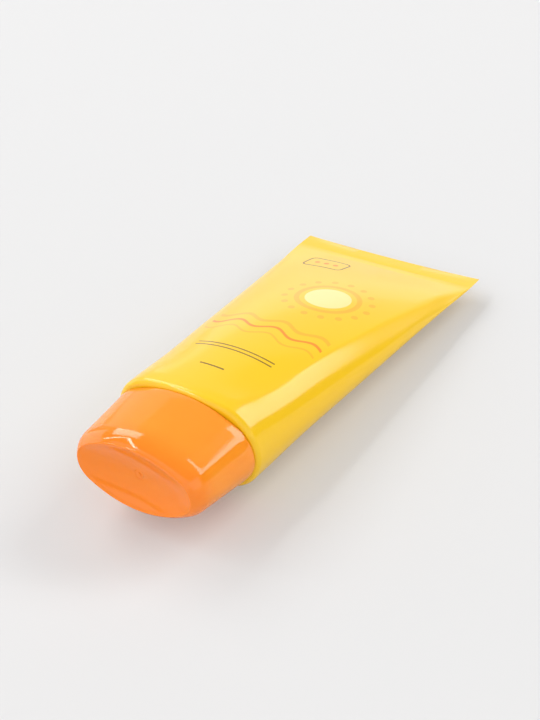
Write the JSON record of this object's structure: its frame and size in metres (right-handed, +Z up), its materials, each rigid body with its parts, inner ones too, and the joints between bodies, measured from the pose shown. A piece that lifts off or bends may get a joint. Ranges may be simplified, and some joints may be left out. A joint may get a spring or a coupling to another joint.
{
  "type": "squeeze tube",
  "caption": "Soft oval squeeze tube lying on its belly, widening to a flat heat-sealed crimp, with an oval dished screw cap on a round neck.",
  "frame": {"origin": "on the resting surface, under the middle of the lying tube's box", "axes": "+Z up from the surface, +Y along the tube from the cap to the crimp, +X across its width"},
  "size_m": [0.0628, 0.1358, 0.0296],
  "materials": {
    "sleeve_film": "glossy printed film",
    "head_plastic": "satin moulded",
    "foil": "brushed foil",
    "cream": "soft satin",
    "cap_plastic": "polished moulded",
    "insert_plastic": "satin moulded",
    "liner_foam": "matte foam"
  },
  "bodies": {
    "tube": {"tube_sleeve": "sleeve_film", "tube_head": "head_plastic", "neck_foil": "foil", "cream_fill": "cream"},
    "liner": {"cap_liner": "liner_foam"},
    "cap": {"cap_shell": "cap_plastic", "cap_insert": "insert_plastic"}
  },
  "joints": [
    {"name": "cap_lift", "type": "slide", "parent": "tube", "child": "liner", "axis": [0, -0.9966, 0.0825], "range_m": [0, 0.0125]},
    {"name": "cap_turn", "type": "hinge", "parent": "liner", "child": "cap", "pos_m": [0, -0.04416, 0.01549], "axis": [0, -0.9966, 0.0825], "range_deg": [0, 900]}
  ],
  "couplings": [
    {"joint": "cap_lift", "follows": "cap_turn", "m_per_rad": 0.00079577}
  ]
}
